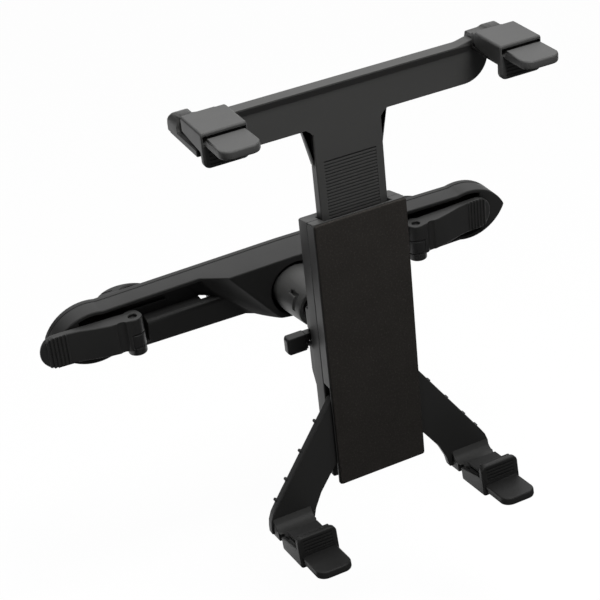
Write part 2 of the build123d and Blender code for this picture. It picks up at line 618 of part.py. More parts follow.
# Legs: flat plates that swing on the leg pins, each with a toe bent forward into its foot
toe_front = -18.5
toe_top = -7.4
toe_low = -BOOT_T - 0.4
with BuildPart() as toe:
    block((-rail_half, rail_half), (toe_front, 4), (toe_top, toe_low))
    block((-boot_half, boot_half), (-2.0, LEG_Y + 4.2), (toe_top, toe_low))
    side_profile([(-3.2, toe_top), (-1.2, toe_top - 0.5), (0.6, toe_top - 1.5), (1.9, toe_top - 3),
                  (2.8, toe_top - 5.2), (4.5, toe_top - 5.2), (4.5, toe_top)], -boot_half, boot_half)

with BuildPart() as right_leg:
    px, pz = LEG_PIVOT
    with BuildSketch(front_plane(LEG_Y)):
        with BuildLine():
            Polyline((px - 2, pz + LEG_EYE_R - 0.4), (19, -21.6), (23, -22), (56.6, -71.2), (59.2, -75.4),
                     (60.6, -79.4), (61, -83), (61, -87), (38, -87), (36.6, -81), (33, -73), (25.4, -62),
                     (px, pz - LEG_EYE_R), close=True)
        make_face()
        with Locations((px, pz)):
            Circle(LEG_EYE_R)
            Circle(LEG_PIN_R + FIT, mode=Mode.SUBTRACT)
    extrude(amount=-LEG_T)
    add(toe.part.moved(foot_place(FOOT_X)))
    for t in (0.22, 0.475, 0.72, 0.9):
        with Locations(Location((22.8 + 36.5 * t, LEG_Y + LEG_T, -22.2 - 53.5 * t), (0, 55.7, 0))):
            Box(1.6, 2.6, 1.6)
    block((30, 70), (LEG_Y - 1, LEG_Y + LEG_T + 3), (-100, -89.4), Mode.SUBTRACT)
right_leg.part.label = "right_leg"
export_step(right_leg.part, "parts/right_leg.step")

with BuildPart() as left_leg:
    add(mirror(right_leg.part, about=Plane.YZ, mode=Mode.PRIVATE))
left_leg.part.label = "left_leg"
export_step(left_leg.part, "parts/left_leg.step")


# Clamp units, each built about its bolt axis at x = 0
def unit_place(x):
    return Location((x, 0, BAR_Z))


with BuildPart() as slider:
    block((-SLIDER_IN, SLIDER_OUT), (slider_face, BAR_FLOOR - 0.1), (-9.4, 4.2))
    rod(0, BOLT_DZ, BOLT_R + CLEAR, slider_face - 1, BAR_FLOOR + 1, Mode.SUBTRACT)

with BuildPart() as left_slider:
    add(mirror(slider.part, about=Plane.YZ, mode=Mode.PRIVATE).moved(unit_place(LEFT_BOLT_X)))
left_slider.part.label = "left_slider"
export_step(left_slider.part, "parts/left_slider.step")

with BuildPart() as right_slider:
    add(slider.part.moved(unit_place(RIGHT_BOLT_X)))
right_slider.part.label = "right_slider"
export_step(right_slider.part, "parts/right_slider.step")

nut_front = JAW_BACK - 6.0
jaw_front = BAR_BACK + 1.3

# Eye bolt: pulled forward by the cam lever, its thread ends in the jaw nut
with BuildPart() as eye_bolt:
    upright(0, PIN_Y, EYE_R, BOLT_DZ - EYE_H / 2, BOLT_DZ + EYE_H / 2)
    rod(0, BOLT_DZ, BOLT_R, PIN_Y + 3, nut_front + NUT_T + 0.9)
    upright(0, PIN_Y, LEVER_PIN_R, BOLT_DZ - EYE_H, BOLT_DZ + EYE_H, Mode.SUBTRACT)

with BuildPart() as left_eye_bolt:
    add(eye_bolt.part.moved(unit_place(LEFT_BOLT_X)))
left_eye_bolt.part.label = "left_eye_bolt"
export_step(left_eye_bolt.part, "parts/left_eye_bolt.step")

with BuildPart() as right_eye_bolt:
    add(eye_bolt.part.moved(unit_place(RIGHT_BOLT_X)))
right_eye_bolt.part.label = "right_eye_bolt"
export_step(right_eye_bolt.part, "parts/right_eye_bolt.step")

with BuildPart() as left_lever_pin:
    upright(LEFT_BOLT_X, PIN_Y, LEVER_PIN_R, BAR_Z - KNUCKLE_H / 2, BAR_Z + KNUCKLE_H / 2)
left_lever_pin.part.label = "left_lever_pin"
export_step(left_lever_pin.part, "parts/left_lever_pin.step")

with BuildPart() as right_lever_pin:
    upright(RIGHT_BOLT_X, PIN_Y, LEVER_PIN_R, BAR_Z - KNUCKLE_H / 2, BAR_Z + KNUCKLE_H / 2)
right_lever_pin.part.label = "right_lever_pin"
export_step(right_lever_pin.part, "parts/right_lever_pin.step")

# Jaw: bored groove for the headrest post, guide lug in the bar's slot, nut pocket at the back
jaw_end = POST_DX + 9
with BuildPart() as jaw:
    with BuildSketch(Plane.XY.offset(-JAW_H / 2)):
        with BuildLine():
            Polyline((-8.5, JAW_BACK - 8), (-8.5, jaw_front), (3, jaw_front), (3, post_y), (jaw_end, post_y),
                     (jaw_end, JAW_BACK - 8))
            ThreePointArc((jaw_end, JAW_BACK - 8), ((jaw_end - 8.5) / 2, JAW_BACK), (-8.5, JAW_BACK - 8))
        make_face()
        with Locations((POST_DX, post_y)):
            Circle(POST_R + LINER_T, mode=Mode.SUBTRACT)
    extrude(amount=JAW_H)
    block((-4.5, 3), (BAR_SPLIT + 0.5, jaw_front + 1),
          (BOLT_DZ - SLOT_H / 2 + CLEAR, BOLT_DZ + SLOT_H / 2 - CLEAR))
    rod(0, BOLT_DZ, BOLT_R, BAR_SPLIT, JAW_BACK + 1, Mode.SUBTRACT)
    with BuildSketch(front_plane(nut_front)):
        with Locations((0, BOLT_DZ)):
            RegularPolygon(NUT_R, 6)
    extrude(amount=nut_front - JAW_BACK - 1, mode=Mode.SUBTRACT)

with BuildPart() as left_jaw:
    add(jaw.part.moved(unit_place(LEFT_BOLT_X)))
left_jaw.part.label = "left_jaw"
export_step(left_jaw.part, "parts/left_jaw.step")

with BuildPart() as right_jaw:
    add(jaw.part.moved(unit_place(RIGHT_BOLT_X)))
right_jaw.part.label = "right_jaw"
export_step(right_jaw.part, "parts/right_jaw.step")

with BuildPart() as jaw_nut:
    with BuildSketch(front_plane(nut_front)):
        with Locations((0, BOLT_DZ)):
            RegularPolygon(NUT_R, 6)
            Circle(BOLT_R, mode=Mode.SUBTRACT)
    extrude(amount=-NUT_T)

with BuildPart() as left_jaw_nut:
    add(jaw_nut.part.moved(unit_place(LEFT_BOLT_X)))
left_jaw_nut.part.label = "left_jaw_nut"
export_step(left_jaw_nut.part, "parts/left_jaw_nut.step")

with BuildPart() as right_jaw_nut:
    add(jaw_nut.part.moved(unit_place(RIGHT_BOLT_X)))
right_jaw_nut.part.label = "right_jaw_nut"
export_step(right_jaw_nut.part, "parts/right_jaw_nut.step")

# Rubber liner in the jaw's groove, the surface that grips the post
with BuildPart() as liner:
    with BuildSketch(Plane.XY.offset(-JAW_H / 2)):
        with Locations((POST_DX, post_y)):
            Circle(POST_R + LINER_T)
            Circle(POST_R, mode=Mode.SUBTRACT)
        with Locations((POST_DX, post_y - 10)):
            Rectangle(40, 20, mode=Mode.SUBTRACT)
    extrude(amount=JAW_H)

with BuildPart() as left_jaw_liner:
    add(liner.part.moved(unit_place(LEFT_BOLT_X)))
left_jaw_liner.part.label = "left_jaw_liner"
export_step(left_jaw_liner.part, "parts/left_jaw_liner.step")

with BuildPart() as right_jaw_liner:
    add(liner.part.moved(unit_place(RIGHT_BOLT_X)))
right_jaw_liner.part.label = "right_jaw_liner"
export_step(right_jaw_liner.part, "parts/right_jaw_liner.step")

# Cam lever: ring and eccentric lobes on the pin, tapered blade, ribbed tip, notch for the eye bolt
lever_high = KNUCKLE_H / 2
notch_low = BOLT_DZ - EYE_H / 2 - 0.2
notch_high = BOLT_DZ + EYE_H / 2 + 0.2
with BuildPart() as lever:
    with BuildSketch(Plane.XY.offset(LEVER_LOW)):
        with BuildLine():
            Polyline((0, PIN_Y - 4.7), (5, PIN_Y - 4.1), (13, PIN_Y - 2.8), (20, PIN_Y - 0.9),
                     (27, PIN_Y + 1.4), (34, PIN_Y + 2.8), (LEVER_L - 3.2, PIN_Y + 3.2),
                     (LEVER_L, PIN_Y + 4.2), (LEVER_L, PIN_Y + 5.6), (LEVER_L - 3.2, PIN_Y + 6.4),
                     (35, PIN_Y + 6.6), (20, PIN_Y + 5.6), (8, PIN_Y + 5.2), (0, PIN_Y + 4.6), close=True)
        make_face()
        with Locations((0, PIN_Y)):
            Circle(CAM_R + 0.3)
        for i in range(6):
            with Locations((LEVER_L - 13.6 + i * 1.9, PIN_Y + 2.7 + i * 0.07)):
                Circle(0.6)
    extrude(amount=lever_high - LEVER_LOW)
    with BuildSketch(front_plane(PIN_Y - 10)) as lever_face:
        with Locations((LEVER_L / 2 - 5, (lever_high + LEVER_LOW) / 2)):
            Rectangle(LEVER_L + 10, lever_high - LEVER_LOW)
        fillet(lever_face.vertices().group_by(Axis.X)[-1], LEVER_TIP_R)
    extrude(amount=-20, mode=Mode.INTERSECT)
    for z_a, z_b in ((-lever_high, notch_low), (notch_high, lever_high)):
        upright(0, PIN_Y, CAM_R + 0.3, z_a, z_b)
        upright(0, PIN_Y + CAM_OFFSET, CAM_R, z_a, z_b)
    upright(0, PIN_Y, EYE_R + 0.9, notch_low, notch_high, Mode.SUBTRACT)
    upright(0, PIN_Y, LEVER_PIN_R + FIT, -lever_high - 1, lever_high + 1, Mode.SUBTRACT)

with BuildPart() as right_lever:
    add(lever.part.moved(unit_place(RIGHT_BOLT_X)))
right_lever.part.label = "right_lever"
export_step(right_lever.part, "parts/right_lever.step")

with BuildPart() as left_lever:
    add(mirror(lever.part, about=Plane.YZ, mode=Mode.PRIVATE).moved(unit_place(LEFT_BOLT_X)))
left_lever.part.label = "left_lever"
export_step(left_lever.part, "parts/left_lever.step")
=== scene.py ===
import json
import math

import bmesh
import bpy
from mathutils import Matrix, Vector

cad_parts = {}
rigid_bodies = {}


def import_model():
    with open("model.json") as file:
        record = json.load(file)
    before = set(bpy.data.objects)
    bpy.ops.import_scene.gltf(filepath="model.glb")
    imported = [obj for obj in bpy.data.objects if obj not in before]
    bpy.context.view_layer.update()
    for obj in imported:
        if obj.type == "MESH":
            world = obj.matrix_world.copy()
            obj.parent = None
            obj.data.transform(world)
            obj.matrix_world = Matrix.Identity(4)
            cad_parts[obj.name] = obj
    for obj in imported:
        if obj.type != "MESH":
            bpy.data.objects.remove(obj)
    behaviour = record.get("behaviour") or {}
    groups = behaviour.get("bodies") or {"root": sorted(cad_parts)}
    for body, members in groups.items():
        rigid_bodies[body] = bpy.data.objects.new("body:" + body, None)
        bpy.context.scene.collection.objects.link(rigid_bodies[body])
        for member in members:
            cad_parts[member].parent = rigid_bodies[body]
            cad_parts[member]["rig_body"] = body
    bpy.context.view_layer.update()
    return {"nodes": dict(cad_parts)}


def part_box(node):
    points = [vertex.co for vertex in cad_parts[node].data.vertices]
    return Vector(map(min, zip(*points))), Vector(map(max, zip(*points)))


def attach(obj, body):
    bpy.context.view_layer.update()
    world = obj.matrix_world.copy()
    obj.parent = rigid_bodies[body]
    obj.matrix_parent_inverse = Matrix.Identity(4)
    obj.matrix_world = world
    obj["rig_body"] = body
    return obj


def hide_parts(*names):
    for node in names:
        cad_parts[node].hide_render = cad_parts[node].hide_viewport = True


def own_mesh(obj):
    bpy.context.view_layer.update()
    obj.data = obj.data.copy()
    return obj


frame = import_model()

# Clamp bar: the long tray moulded in black nylon that carries the two clamp units and the ball seat.
# Its rim is radiused all round, and the apron in the middle has a rounder crest. The clamp bolts pass
# through two slots in its floor, and a small drain window opens on each side of the hub.
BAR_BLACK = (0.011, 0.011, 0.0108)
BAR_RUBBED = (0.045, 0.045, 0.044)
BAR_RADIUS = 0.0007
APRON_CREST = (0.090, -0.0036)
APRON_RADIUS = 0.0032
WINDOWS_X = [(-0.0482, -0.0416), (0.0416, 0.0482)]
WINDOW_Y = (0.0938, 0.0990)
WINDOW_Z = (-0.0060, -0.0030)
GRAIN_PER_METRE = 2600.0
GRAIN_DEPTH = 0.00003
GRAIN_STRENGTH = 0.6
UNEVENNESS = 0.05
PATCHES_PER_METRE = 70.0
BREAKS_PER_METRE = 420.0
HANDLING_PER_METRE = 45.0
HANDLING_SHARE = 0.16
EDGE_GAIN = 5.0
EDGE_WIDTH = 0.0006
EDGE_RUB = 0.5
# Painted shade for gaps and inside corners: its black, its reach and how strongly it darkens.
CREVICE_SHADE_BLACK = (0.002, 0.002, 0.002, 1)
CREVICE_SHADE_REACH = 0.004
CREVICE_SHADE_AMOUNT = 0.8
FLAT_ANGLE = math.radians(0.6)
CORNER_ANGLE = math.radians(32)
SMOOTH_ANGLE = math.radians(38)
CORNER_ROOM = 2.3
NEAR = 1e-4


def effect_group(name, inputs, outputs):
    group = bpy.data.node_groups.new(name, "ShaderNodeTree")
    for label, kind, value in inputs:
        socket = group.interface.new_socket(name=label, in_out="INPUT", socket_type=kind)
        socket.default_value = value
    for label, kind in outputs:
        group.interface.new_socket(name=label, in_out="OUTPUT", socket_type=kind)
    return group, group.nodes.new("NodeGroupInput"), group.nodes.new("NodeGroupOutput")


def math_node(tree, operation, first, second):
    node = tree.nodes.new("ShaderNodeMath")
    node.operation = operation
    for socket, value in zip(node.inputs, (first, second)):
        if isinstance(value, (int, float)):
            socket.default_value = value
        else:
            tree.links.new(value, socket)
    return node.outputs[0]


def cloud_node(tree, where, scale, detail, rough):
    node = tree.nodes.new("ShaderNodeTexNoise")
    node.inputs["Detail"].default_value = detail
    node.inputs["Roughness"].default_value = rough
    if isinstance(scale, (int, float)):
        node.inputs["Scale"].default_value = scale
    else:
        tree.links.new(scale, node.inputs["Scale"])
    tree.links.new(where, node.inputs["Vector"])
    return node.outputs["Fac"]


def spark_grain_group():
    """The fine grain left by the mould, and slow patches in the roughness."""
    group, enter, leave = effect_group(
        "spark_grain",
        [("Grain per metre", "NodeSocketFloat", GRAIN_PER_METRE),
         ("Unevenness", "NodeSocketFloat", UNEVENNESS),
         ("Roughness", "NodeSocketFloat", 0.45)],
        [("Height", "NodeSocketFloat"), ("Roughness", "NodeSocketFloat")])
    where = group.nodes.new("ShaderNodeTexCoord").outputs["Object"]
    grain = cloud_node(group, where, enter.outputs["Grain per metre"], detail=2.0, rough=0.6)
    patches = cloud_node(group, where, PATCHES_PER_METRE, detail=3.0, rough=0.55)
    group.links.new(grain, leave.inputs["Height"])
    swing = math_node(group, "SUBTRACT", patches, 0.5)
    swing = math_node(group, "MULTIPLY", swing, enter.outputs["Unevenness"])
    swing = math_node(group, "MULTIPLY", swing, 2.0)
    swing = math_node(group, "ADD", swing, enter.outputs["Roughness"])
    group.links.new(swing, leave.inputs["Roughness"])
    return group


def edge_scuff_group():
    """A paler, broken colour along rubbed edges, with faint marks of handling elsewhere."""
    group, enter, leave = effect_group(
        "edge_scuff",
        [("Colour", "NodeSocketColor", (0.03, 0.03, 0.03, 1)),
         ("Rubbed colour", "NodeSocketColor", (0.08, 0.08, 0.08, 1)),
         ("Width", "NodeSocketFloat", EDGE_WIDTH),
         ("Amount", "NodeSocketFloat", EDGE_RUB)],
        [("Colour", "NodeSocketColor")])
    softened = group.nodes.new("ShaderNodeBevel")
    softened.samples = 4
    group.links.new(enter.outputs["Width"], softened.inputs["Radius"])
    straight = group.nodes.new("ShaderNodeNewGeometry")
    compare = group.nodes.new("ShaderNodeVectorMath")
    compare.operation = "DOT_PRODUCT"
    group.links.new(softened.outputs["Normal"], compare.inputs[0])
    group.links.new(straight.outputs["Normal"], compare.inputs[1])
    turned = math_node(group, "SUBTRACT", 1.0, compare.outputs["Value"])
    turned = math_node(group, "MULTIPLY", turned, EDGE_GAIN)
    where = group.nodes.new("ShaderNodeTexCoord").outputs["Object"]
    broken = cloud_node(group, where, BREAKS_PER_METRE, detail=3.0, rough=0.6)
    handled = cloud_node(group, where, HANDLING_PER_METRE, detail=4.0, rough=0.6)
    mask = math_node(group, "MULTIPLY", math_node(group, "MINIMUM", turned, 1.0), broken)
    mask = math_node(group, "ADD", mask, math_node(group, "MULTIPLY", handled, HANDLING_SHARE))
    mask = math_node(group, "MULTIPLY", mask, enter.outputs["Amount"])
    blend = group.nodes.new("ShaderNodeMix")
    blend.data_type = "RGBA"
    group.links.new(mask, blend.inputs["Factor"])
    group.links.new(enter.outputs["Colour"], blend.inputs["A"])
    group.links.new(enter.outputs["Rubbed colour"], blend.inputs["B"])
    group.links.new(blend.outputs["Result"], leave.inputs["Colour"])
    return group


def painted_crevice_shade_group():
    """Painted shade: a darker colour in narrow gaps and inside corners, wherever the ambient occlusion
    finds little open space.
    """
    group, enter, leave = effect_group(
        "painted_crevice_shade",
        [("Colour", "NodeSocketColor", (0.03, 0.03, 0.03, 1)),
         ("Reach", "NodeSocketFloat", CREVICE_SHADE_REACH),
         ("Amount", "NodeSocketFloat", CREVICE_SHADE_AMOUNT)],
        [("Colour", "NodeSocketColor")])
    open_sky = group.nodes.new("ShaderNodeAmbientOcclusion")
    open_sky.samples = 6
    group.links.new(enter.outputs["Reach"], open_sky.inputs["Distance"])
    painted_shade_share = math_node(group, "SUBTRACT", 1.0, open_sky.outputs["AO"])
    painted_shade_share = math_node(group, "MULTIPLY", painted_shade_share, enter.outputs["Amount"])
    blend = group.nodes.new("ShaderNodeMix")
    blend.data_type = "RGBA"
    blend.inputs["B"].default_value = CREVICE_SHADE_BLACK
    group.links.new(painted_shade_share, blend.inputs["Factor"])
    group.links.new(enter.outputs["Colour"], blend.inputs["A"])
    group.links.new(blend.outputs["Result"], leave.inputs["Colour"])
    return group


spark_grain = spark_grain_group()
edge_scuff = edge_scuff_group()
painted_crevice_shade = painted_crevice_shade_group()


def place_group(material, group, **values):
    node = material.node_tree.nodes.new("ShaderNodeGroup")
    node.node_tree = group
    for label, value in values.items():
        node.inputs[label.replace("_", " ")].default_value = value
    return node


def grained_surface(material, grain, uneven, roughness, depth, strength):
    """Give a material the grain of its mould, and hand back its surface node."""
    tree = material.node_tree
    surface = tree.nodes["Principled BSDF"]
    grained = place_group(material, spark_grain, Grain_per_metre=grain, Unevenness=uneven,
                          Roughness=roughness)
    relief = tree.nodes.new("ShaderNodeBump")
    relief.inputs["Distance"].default_value = depth
    relief.inputs["Strength"].default_value = strength
    tree.links.new(grained.outputs["Height"], relief.inputs["Height"])
    tree.links.new(relief.outputs["Normal"], surface.inputs["Normal"])
    tree.links.new(grained.outputs["Roughness"], surface.inputs["Roughness"])
    return surface


def moulded_plastic(name, colour, rubbed, roughness, grain=GRAIN_PER_METRE, depth=GRAIN_DEPTH):
    material = bpy.data.materials.new(name)
    material.use_nodes = True
    tree = material.node_tree
    surface = grained_surface(material, grain, UNEVENNESS, roughness, depth, GRAIN_STRENGTH)
    scuffed = place_group(material, edge_scuff, Colour=(*colour, 1), Rubbed_colour=(*rubbed, 1),
                          Amount=EDGE_RUB)
    # Painted shade darkens the colour in gaps and inside corners.
    painted_shade_node = place_group(material, painted_crevice_shade)
    tree.links.new(scuffed.outputs["Colour"], painted_shade_node.inputs["Colour"])
    tree.links.new(painted_shade_node.outputs["Colour"], surface.inputs["Base Color"])
    return material


def face_reach(face, line):
    """How far a face stretches away from one of its edges."""
    start = line.verts[0].co
    along = (line.verts[1].co - start).normalized()
    return max(((v.co - start) - along * (v.co - start).dot(along)).length for v in face.verts)


def middle_of(line):
    return (line.verts[0].co + line.verts[1].co) / 2


def even_shading(piece):
    piece.data.shade_smooth()
    piece.data.set_sharp_from_angle(angle=SMOOTH_ANGLE)
    even = piece.modifiers.new("even_shading", "WEIGHTED_NORMAL")
    even.keep_sharp = True


def radiused(node_name, radius, crest=None, crest_radius=0.0, sharp=None):
    """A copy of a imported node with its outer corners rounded, in the node's place on the node's body.

    crest tells which edges get the larger crest_radius, and sharp which ones stay as they are.
    """
    node = frame["nodes"][node_name]
    shape = bmesh.new()
    shape.from_mesh(node.data)
    bmesh.ops.remove_doubles(shape, verts=shape.verts, dist=1e-6)
    bmesh.ops.dissolve_limit(shape, angle_limit=FLAT_ANGLE, verts=shape.verts, edges=shape.edges)
    if crest:
        crown = [line for line in shape.edges if crest(middle_of(line))]
        bmesh.ops.bevel(shape, geom=crown, offset=crest_radius, offset_type="OFFSET", segments=6,
                        profile=0.5, affect="EDGES", clamp_overlap=False)
    corners = [line for line in shape.edges
               if line.is_convex and line.calc_face_angle() > CORNER_ANGLE
               and all(face_reach(face, line) > CORNER_ROOM * radius for face in line.link_faces)
               and not (sharp and sharp(middle_of(line)))]
    bmesh.ops.bevel(shape, geom=corners, offset=radius, offset_type="OFFSET", segments=2,
                    profile=0.5, affect="EDGES", clamp_overlap=False)
    mesh = bpy.data.meshes.new(node_name + "_moulding")
    shape.to_mesh(mesh)
    shape.free()
    piece = bpy.data.objects.new(node_name + "_moulding", mesh)
    bpy.context.scene.collection.objects.link(piece)
    even_shading(piece)
    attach(piece, node["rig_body"])
    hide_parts(node_name)
    return piece


def dress(piece, material):
    piece.data.materials.clear()
    piece.data.materials.append(material)


def square_hole(low, high):
    """A box between two corners, to take away from a piece."""
    shape = bmesh.new()
    bmesh.ops.create_cube(shape, size=1.0)
    for v in shape.verts:
        v.co = Vector([a + (b - a) * (c + 0.5) for a, b, c in zip(low, high, v.co)])
    return shape


def carved(piece, shape):
    """Take a closed shape away from a piece."""
    mesh = bpy.data.meshes.new("hollow")
    shape.to_mesh(mesh)
    shape.free()
    hollow = bpy.data.objects.new("hollow", mesh)
    bpy.context.scene.collection.objects.link(hollow)
    piece.modifiers.clear()
    cut = piece.modifiers.new("hollow", "BOOLEAN")
    cut.operation = "DIFFERENCE"
    cut.solver = "EXACT"
    cut.object = hollow
    bpy.context.view_layer.update()
    whole = piece.evaluated_get(bpy.context.evaluated_depsgraph_get())
    piece.data = bpy.data.meshes.new_from_object(whole)
    piece.modifiers.clear()
    bpy.data.objects.remove(hollow)
    bpy.data.meshes.remove(mesh)
    even_shading(piece)


def on_apron_crest(middle):
    return abs(middle.y - APRON_CREST[0]) < NEAR and abs(middle.z - APRON_CREST[1]) < NEAR


bar_plastic = moulded_plastic("bar_plastic", BAR_BLACK, BAR_RUBBED, roughness=0.44)
bar = radiused("clamp_bar", BAR_RADIUS, crest=on_apron_crest, crest_radius=APRON_RADIUS)
for window_x in WINDOWS_X:
    window_low, window_high = zip(window_x, WINDOW_Y, WINDOW_Z)
    carved(bar, square_hole(window_low, window_high))
dress(bar, bar_plastic)

# Rear cover: the flat moulding that closes the back of the tray and bears on the headrest posts.
# Four screws hold it, and its slots line up with those of the tray.
COVER_RADIUS = 0.0005
dress(radiused("rear_cover", COVER_RADIUS), bar_plastic)

# Bar screws: four zinc-plated self-tapping screws with a cross recess, sunk into the rear cover.
# They pass through the cover into the back of the tray, where their threads hold.
BAR_SCREW_PLACES = [(-0.117, -0.0038), (-0.031, -0.0038), (0.031, -0.0038), (0.117, -0.0038)]
BAR_SCREW_SPAN = (0.1048, 0.0978)
ZINC = (0.34, 0.34, 0.35)
ZINC_DULL = (0.16, 0.16, 0.165)
ZINC_GRAIN = 1500.0
ZINC_UNEVENNESS = 0.14
ZINC_DEPTH = 0.00002
ZINC_STRENGTH = 0.5
ZINC_RUB = 1.6
SCREW_SIDES = 28
HEAD_RINGS = [(0.00165, 0.0), (0.00205, 0.00022), (0.0022, 0.0006), (0.0022, 0.0018), (0.0012, 0.0018)]
HEAD_DEPTH = 0.0018
THREAD_PITCH = 0.0008
THREAD_CORE = 0.00085
THREAD_CREST = 0.0012
THREAD_TURN = (0.35, 0.7)
SCREW_ANGLE = math.radians(35)
TIP_RADIUS = 0.00025
TIP_LENGTH = 0.0008
RECESS_ARM = 0.0013
RECESS_HALF = 0.00033
RECESS_DEPTH = 0.001
RECESS_TAPER = (0.55, 0.8)


def plated_steel(name, colour, dull, roughness):
    material = bpy.data.materials.new(name)
    material.use_nodes = True
    tree = material.node_tree
    surface = grained_surface(material, ZINC_GRAIN, ZINC_UNEVENNESS, roughness, ZINC_DEPTH, ZINC_STRENGTH)
    surface.inputs["Metallic"].default_value = 1.0
    scuffed = place_group(material, edge_scuff, Colour=(*dull, 1), Rubbed_colour=(*colour, 1),
                          Amount=ZINC_RUB)
    tree.links.new(scuffed.outputs["Colour"], surface.inputs["Base Color"])
    return material


def ring_of(shape, radius, y):
    turns = [math.tau * i / SCREW_SIDES for i in range(SCREW_SIDES)]
    return [shape.verts.new((radius * math.cos(turn), y, radius * math.sin(turn))) for turn in turns]


def join_rings(shape, one, two):
    for i in range(len(one)):
        j = (i + 1) % len(one)
        shape.faces.new((one[i], one[j], two[j], two[i]))


def loop_lines(shape, verts):
    pairs = zip(verts, verts[1:] + verts[:1])
    return [shape.edges.get(pair) or shape.edges.new(pair) for pair in pairs]


def cross_screws(name, node_name, places, span):
    """A set of screws along Y, each with a threaded shank and a cross recess in its head."""
    head_y, tip_y = span
    arm, half = RECESS_ARM, RECESS_HALF
    plus = [(arm, -half), (arm, half), (half, half), (half, arm), (-half, arm), (-half, half), (-arm, half),
            (-arm, -half), (-half, -half), (-half, -arm), (half, -arm), (half, -half)]
    mesh = bpy.data.meshes.new(name)
    gathered = bmesh.new()
    for x, z in places:
        shape = bmesh.new()
        rings = [ring_of(shape, radius, head_y - drop) for radius, drop in HEAD_RINGS]
        depth = HEAD_DEPTH
        while head_y - depth - THREAD_PITCH > tip_y + TIP_LENGTH:
            rings.append(ring_of(shape, THREAD_CORE, head_y - depth - THREAD_PITCH * THREAD_TURN[0]))
            rings.append(ring_of(shape, THREAD_CREST, head_y - depth - THREAD_PITCH * THREAD_TURN[1]))
            depth += THREAD_PITCH
        rings.append(ring_of(shape, TIP_RADIUS, tip_y))
        for one, two in zip(rings, rings[1:]):
            join_rings(shape, one, two)
        shape.faces.new(rings[-1])
        brim = [shape.verts.new((u, head_y, v)) for u, v in plus]
        foot = [shape.verts.new((u * RECESS_TAPER[0], head_y - RECESS_DEPTH, v * RECESS_TAPER[1]))
                for u, v in plus]
        join_rings(shape, brim, foot)
        shape.faces.new(foot)
        face_lines = loop_lines(shape, rings[0]) + loop_lines(shape, brim)
        bmesh.ops.triangle_fill(shape, use_beauty=True, edges=face_lines)
        bmesh.ops.recalc_face_normals(shape, faces=shape.faces)
        bmesh.ops.translate(shape, verts=shape.verts, vec=(x, 0, z))
        one_screw = bpy.data.meshes.new("one_screw")
        shape.to_mesh(one_screw)
        shape.free()
        gathered.from_mesh(one_screw)
        bpy.data.meshes.remove(one_screw)
    gathered.to_mesh(mesh)
    gathered.free()
    mesh.shade_smooth()
    mesh.set_sharp_from_angle(angle=SCREW_ANGLE)
    piece = bpy.data.objects.new(name, mesh)
    bpy.context.scene.collection.objects.link(piece)
    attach(piece, frame["nodes"][node_name]["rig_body"])
    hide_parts(node_name)
    return piece


zinc = plated_steel("zinc_plate", ZINC, ZINC_DULL, roughness=0.36)
bar_screws = cross_screws("bar_cross_screws", "bar_screws", BAR_SCREW_PLACES, BAR_SCREW_SPAN)
dress(bar_screws, zinc)

# Socket seat: the tube with a cup for the ball, its flange held between tray and cover.
# It is moulded in smooth hard nylon, so that the collar turns on it.
SEAT_BLACK = (0.007, 0.007, 0.007)
SEAT_RUBBED = (0.03, 0.03, 0.03)
hard_plastic = moulded_plastic("hard_plastic", SEAT_BLACK, SEAT_RUBBED, roughness=0.36, grain=900.0,
                               depth=0.00001)
dress(frame["nodes"]["socket_seat"], hard_plastic)

# Pivot ball and neck: the turned ball of the joint and the stalk that carries the holder.
# Both are hard plastic with a polish from turning in the cup.
dress(frame["nodes"]["pivot_ball"], hard_plastic)
dress(frame["nodes"]["ball_neck"], hard_plastic)

# Collar nut: the tapered ring that is tightened by hand over the ball, with bent finger slots at its front.
# It is moulded in a slightly glossier plastic than the bar, and turns on the socket seat; its paler colour
# is partly its own grey and partly painted light for the sky its upper side reflects.
# Painted light in part: the paler colour also stands for the bright sky the collar reflects.
COLLAR_GREY_AND_PAINTED_LIGHT = (0.075, 0.075, 0.0735)
COLLAR_RUBBED_AND_PAINTED_LIGHT = (0.14, 0.14, 0.138)
COLLAR_RADIUS = 0.0004
collar_plastic_with_painted_light = moulded_plastic("collar_plastic_with_painted_light", COLLAR_GREY_AND_PAINTED_LIGHT, COLLAR_RUBBED_AND_PAINTED_LIGHT, roughness=0.42,
                                 grain=2200.0)
dress(radiused("collar_nut", COLLAR_RADIUS), collar_plastic_with_painted_light)

# Back block: the bridge moulding screwed to the rear shell, in which the neck and the button are held.
# Its four screws sit in seats that touch the chamfers, so the edges there stay sharp.
BLOCK_RADIUS = 0.0007
BODY_BLACK = (0.026, 0.026, 0.0255)
BODY_RUBBED = (0.075, 0.075, 0.073)
BLOCK_BACK = 0.028
SEAT_INNER = 0.0139
BLOCK_SCREW_PLACES = [(-0.0165, 0.0105), (0.0165, 0.0105), (-0.0165, -0.013), (0.0165, -0.013)]
BLOCK_SCREW_SPAN = (0.0278, 0.013)


def at_screw_seats(middle):
    return middle.y > BLOCK_BACK - NEAR and abs(middle.x) > SEAT_INNER


body_plastic = moulded_plastic("body_plastic", BODY_BLACK, BODY_RUBBED, roughness=0.46, grain=2400.0)
dress(radiused("back_block", BLOCK_RADIUS, sharp=at_screw_seats), body_plastic)
block_screws = cross_screws("block_cross_screws", "block_screws", BLOCK_SCREW_PLACES, BLOCK_SCREW_SPAN)
dress(block_screws, zinc)

# Release button and its spring: the thumb block that frees the arm, pushed back by a bent steel strip.
# The button is hard smooth nylon. The strip is flattened against the block as the button goes in.
BUTTON_RADIUS = 0.0006
SPRING_EDGE = 0.00008
dress(radiused("release_button", BUTTON_RADIUS), hard_plastic)
spring = radiused("button_spring", SPRING_EDGE)
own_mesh(spring)
dress(spring, zinc)

